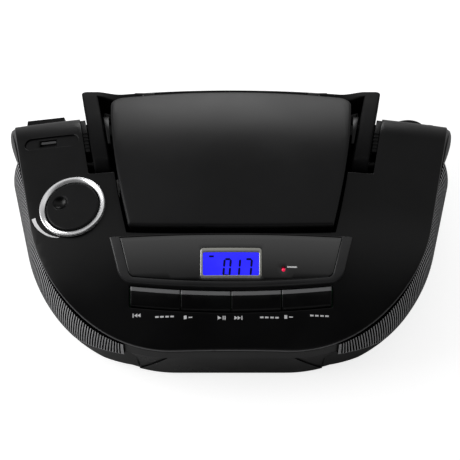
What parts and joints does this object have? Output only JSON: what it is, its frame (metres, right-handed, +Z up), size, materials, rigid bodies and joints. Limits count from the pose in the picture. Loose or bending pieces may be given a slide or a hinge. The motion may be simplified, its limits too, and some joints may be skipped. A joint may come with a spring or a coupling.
{
  "type": "cd radio",
  "caption": "Portable CD radio with domed disc lid, folding handle, front keys, lit display, volume knob, bulging speaker grilles and a rod aerial at the back",
  "frame": {"origin": "under the middle of the bounding box, at the foot of the feet", "axes": "X across the body to the right, Y from the front to the back, Z up"},
  "size_m": [0.327, 0.2194, 0.1058],
  "materials": {
    "cover": "black moulded plastic, satin gloss",
    "body": "dark grey moulded plastic",
    "trim": "grey moulded plastic",
    "panel": "glossy dark panel",
    "silver": "satin silver",
    "chrome": "polished",
    "window": "lit blue window",
    "lamp": "red lamp",
    "board": "green circuit board",
    "steel": "plain steel",
    "white": "light moulded plastic",
    "cone": "black paper cone",
    "magnet": "dark ferrite",
    "contact": "plated contact",
    "lens": "coated lens",
    "foot": "soft rubber"
  },
  "bodies": {
    "cabinet": {"upper_cabinet": "cover", "lower_cabinet": "body", "front_strip": "trim", "front_plinth": "body", "display_bezel": "trim", "display_panel": "panel", "display_frame": "silver", "display_window": "window", "display_module": "board", "power_lamp": "lamp", "key_board": "board", "volume_ring": "chrome", "volume_control": "steel", "usb_socket": "steel", "usb_tongue": "white", "disc_deck": "body", "lid_hinge_pins": "steel", "handle_pivots": "steel", "drive_chassis": "body", "spindle_motor": "steel", "sled_rods": "steel", "tuning_capacitor": "white", "slide_switch_body": "body", "battery_tray": "body", "battery_contacts": "contact", "mains_inlet": "body", "inlet_pins": "contact", "phone_socket": "body", "main_board": "board", "mains_transformer": "steel", "ferrite_rod": "magnet", "case_screws": "steel", "feet": "foot", "left_grille": "trim", "right_grille": "trim", "left_speaker_basket": "steel", "left_speaker_cone": "cone", "left_speaker_magnet": "magnet", "right_speaker_basket": "steel", "right_speaker_cone": "cone", "right_speaker_magnet": "magnet"},
    "lid": {"cd_lid": "cover"},
    "carrying_handle": {"handle": "trim"},
    "volume": {"volume_knob": "trim"},
    "tuning": {"tuning_knob": "body", "tuning_rotor": "steel"},
    "switch": {"slide_switch_lever": "body"},
    "key_1": {"first_key": "panel"},
    "key_2": {"second_key": "panel"},
    "key_3": {"third_key": "panel"},
    "key_4": {"fourth_key": "panel"},
    "disc_table": {"turntable": "body"},
    "sled": {"laser_sled": "body", "laser_lens": "lens"},
    "sled_wheel": {"sled_drive_wheel": "white"},
    "hatch": {"battery_hatch": "body"},
    "turret": {"aerial_turret": "chrome"},
    "rod_1": {"aerial_section_1": "chrome"},
    "rod_2": {"aerial_section_2": "chrome"},
    "rod_3": {"aerial_section_3": "chrome"}
  },
  "joints": [
    {"name": "lid_hinge", "type": "hinge", "parent": "cabinet", "child": "lid", "pos_m": [0, 0.0912, 0.0795], "axis": [-1, 0, 0], "range_deg": [0, 65]},
    {"name": "handle_swing", "type": "hinge", "parent": "cabinet", "child": "carrying_handle", "pos_m": [0, 0.0233, 0.08479], "axis": [1, 0, 0], "range_deg": [0, 95]},
    {"name": "volume_turn", "type": "hinge", "parent": "cabinet", "child": "volume", "pos_m": [-0.1115, -0.0147, 0.08798], "axis": [-0.1556, -0.0517, 0.9865], "range_deg": [-135, 135]},
    {"name": "tuning_turn", "type": "hinge", "parent": "cabinet", "child": "tuning", "pos_m": [0.136, 0.0813, 0.04], "axis": [0, 1, 0], "range_deg": [0, 180]},
    {"name": "switch_slide", "type": "slide", "parent": "cabinet", "child": "switch", "axis": [0.9848, 0, 0.1736], "range_m": [0, 0.01]},
    {"name": "key_1_rock", "type": "hinge", "parent": "cabinet", "child": "key_1", "pos_m": [-0.0519, -0.079, 0.0689], "axis": [0, 0.809, 0.5878], "range_deg": [-3, 3], "stiffness_Nm_per_rad": 0.6},
    {"name": "key_2_rock", "type": "hinge", "parent": "cabinet", "child": "key_2", "pos_m": [-0.0173, -0.079, 0.0689], "axis": [0, 0.809, 0.5878], "range_deg": [-3, 3], "stiffness_Nm_per_rad": 0.6},
    {"name": "key_3_rock", "type": "hinge", "parent": "cabinet", "child": "key_3", "pos_m": [0.0173, -0.079, 0.0689], "axis": [0, 0.809, 0.5878], "range_deg": [-3, 3], "stiffness_Nm_per_rad": 0.6},
    {"name": "key_4_rock", "type": "hinge", "parent": "cabinet", "child": "key_4", "pos_m": [0.0519, -0.079, 0.0689], "axis": [0, 0.809, 0.5878], "range_deg": [-3, 3], "stiffness_Nm_per_rad": 0.6},
    {"name": "disc_spin", "type": "hinge", "parent": "cabinet", "child": "disc_table", "pos_m": [0, 0.0263, 0.076], "axis": [0, 0, 1], "continuous": true},
    {"name": "sled_slide", "type": "slide", "parent": "cabinet", "child": "sled", "axis": [1, 0, 0], "range_m": [0, 0.034]},
    {"name": "sled_wheel_turn", "type": "hinge", "parent": "cabinet", "child": "sled_wheel", "pos_m": [0.04, 0.0567, 0.064], "axis": [0, 0, 1], "range_deg": [0, 263]},
    {"name": "hatch_hinge", "type": "hinge", "parent": "cabinet", "child": "hatch", "pos_m": [0, 0.1001, 0.0082], "axis": [-1, 0, 0], "range_deg": [0, 85]},
    {"name": "aerial_turn", "type": "hinge", "parent": "cabinet", "child": "turret", "pos_m": [0.092, 0.1023, 0.0396], "axis": [0, 1, 0], "range_deg": [0, 120]},
    {"name": "aerial_tilt", "type": "hinge", "parent": "turret", "child": "rod_1", "pos_m": [0.092, 0.1063, 0.0396], "axis": [0, 0, -1], "range_deg": [0, 80]},
    {"name": "aerial_pull", "type": "slide", "parent": "rod_1", "child": "rod_2", "axis": [-1, 0, 0], "range_m": [0, 0.12]},
    {"name": "aerial_tip_pull", "type": "slide", "parent": "rod_2", "child": "rod_3", "axis": [-1, 0, 0], "range_m": [0, 0.12]}
  ],
  "couplings": [
    {"joint": "sled_wheel_turn", "follows": "sled_slide", "rad_per_m": 135},
    {"joint": "aerial_tip_pull", "follows": "aerial_pull", "ratio": 1}
  ]
}
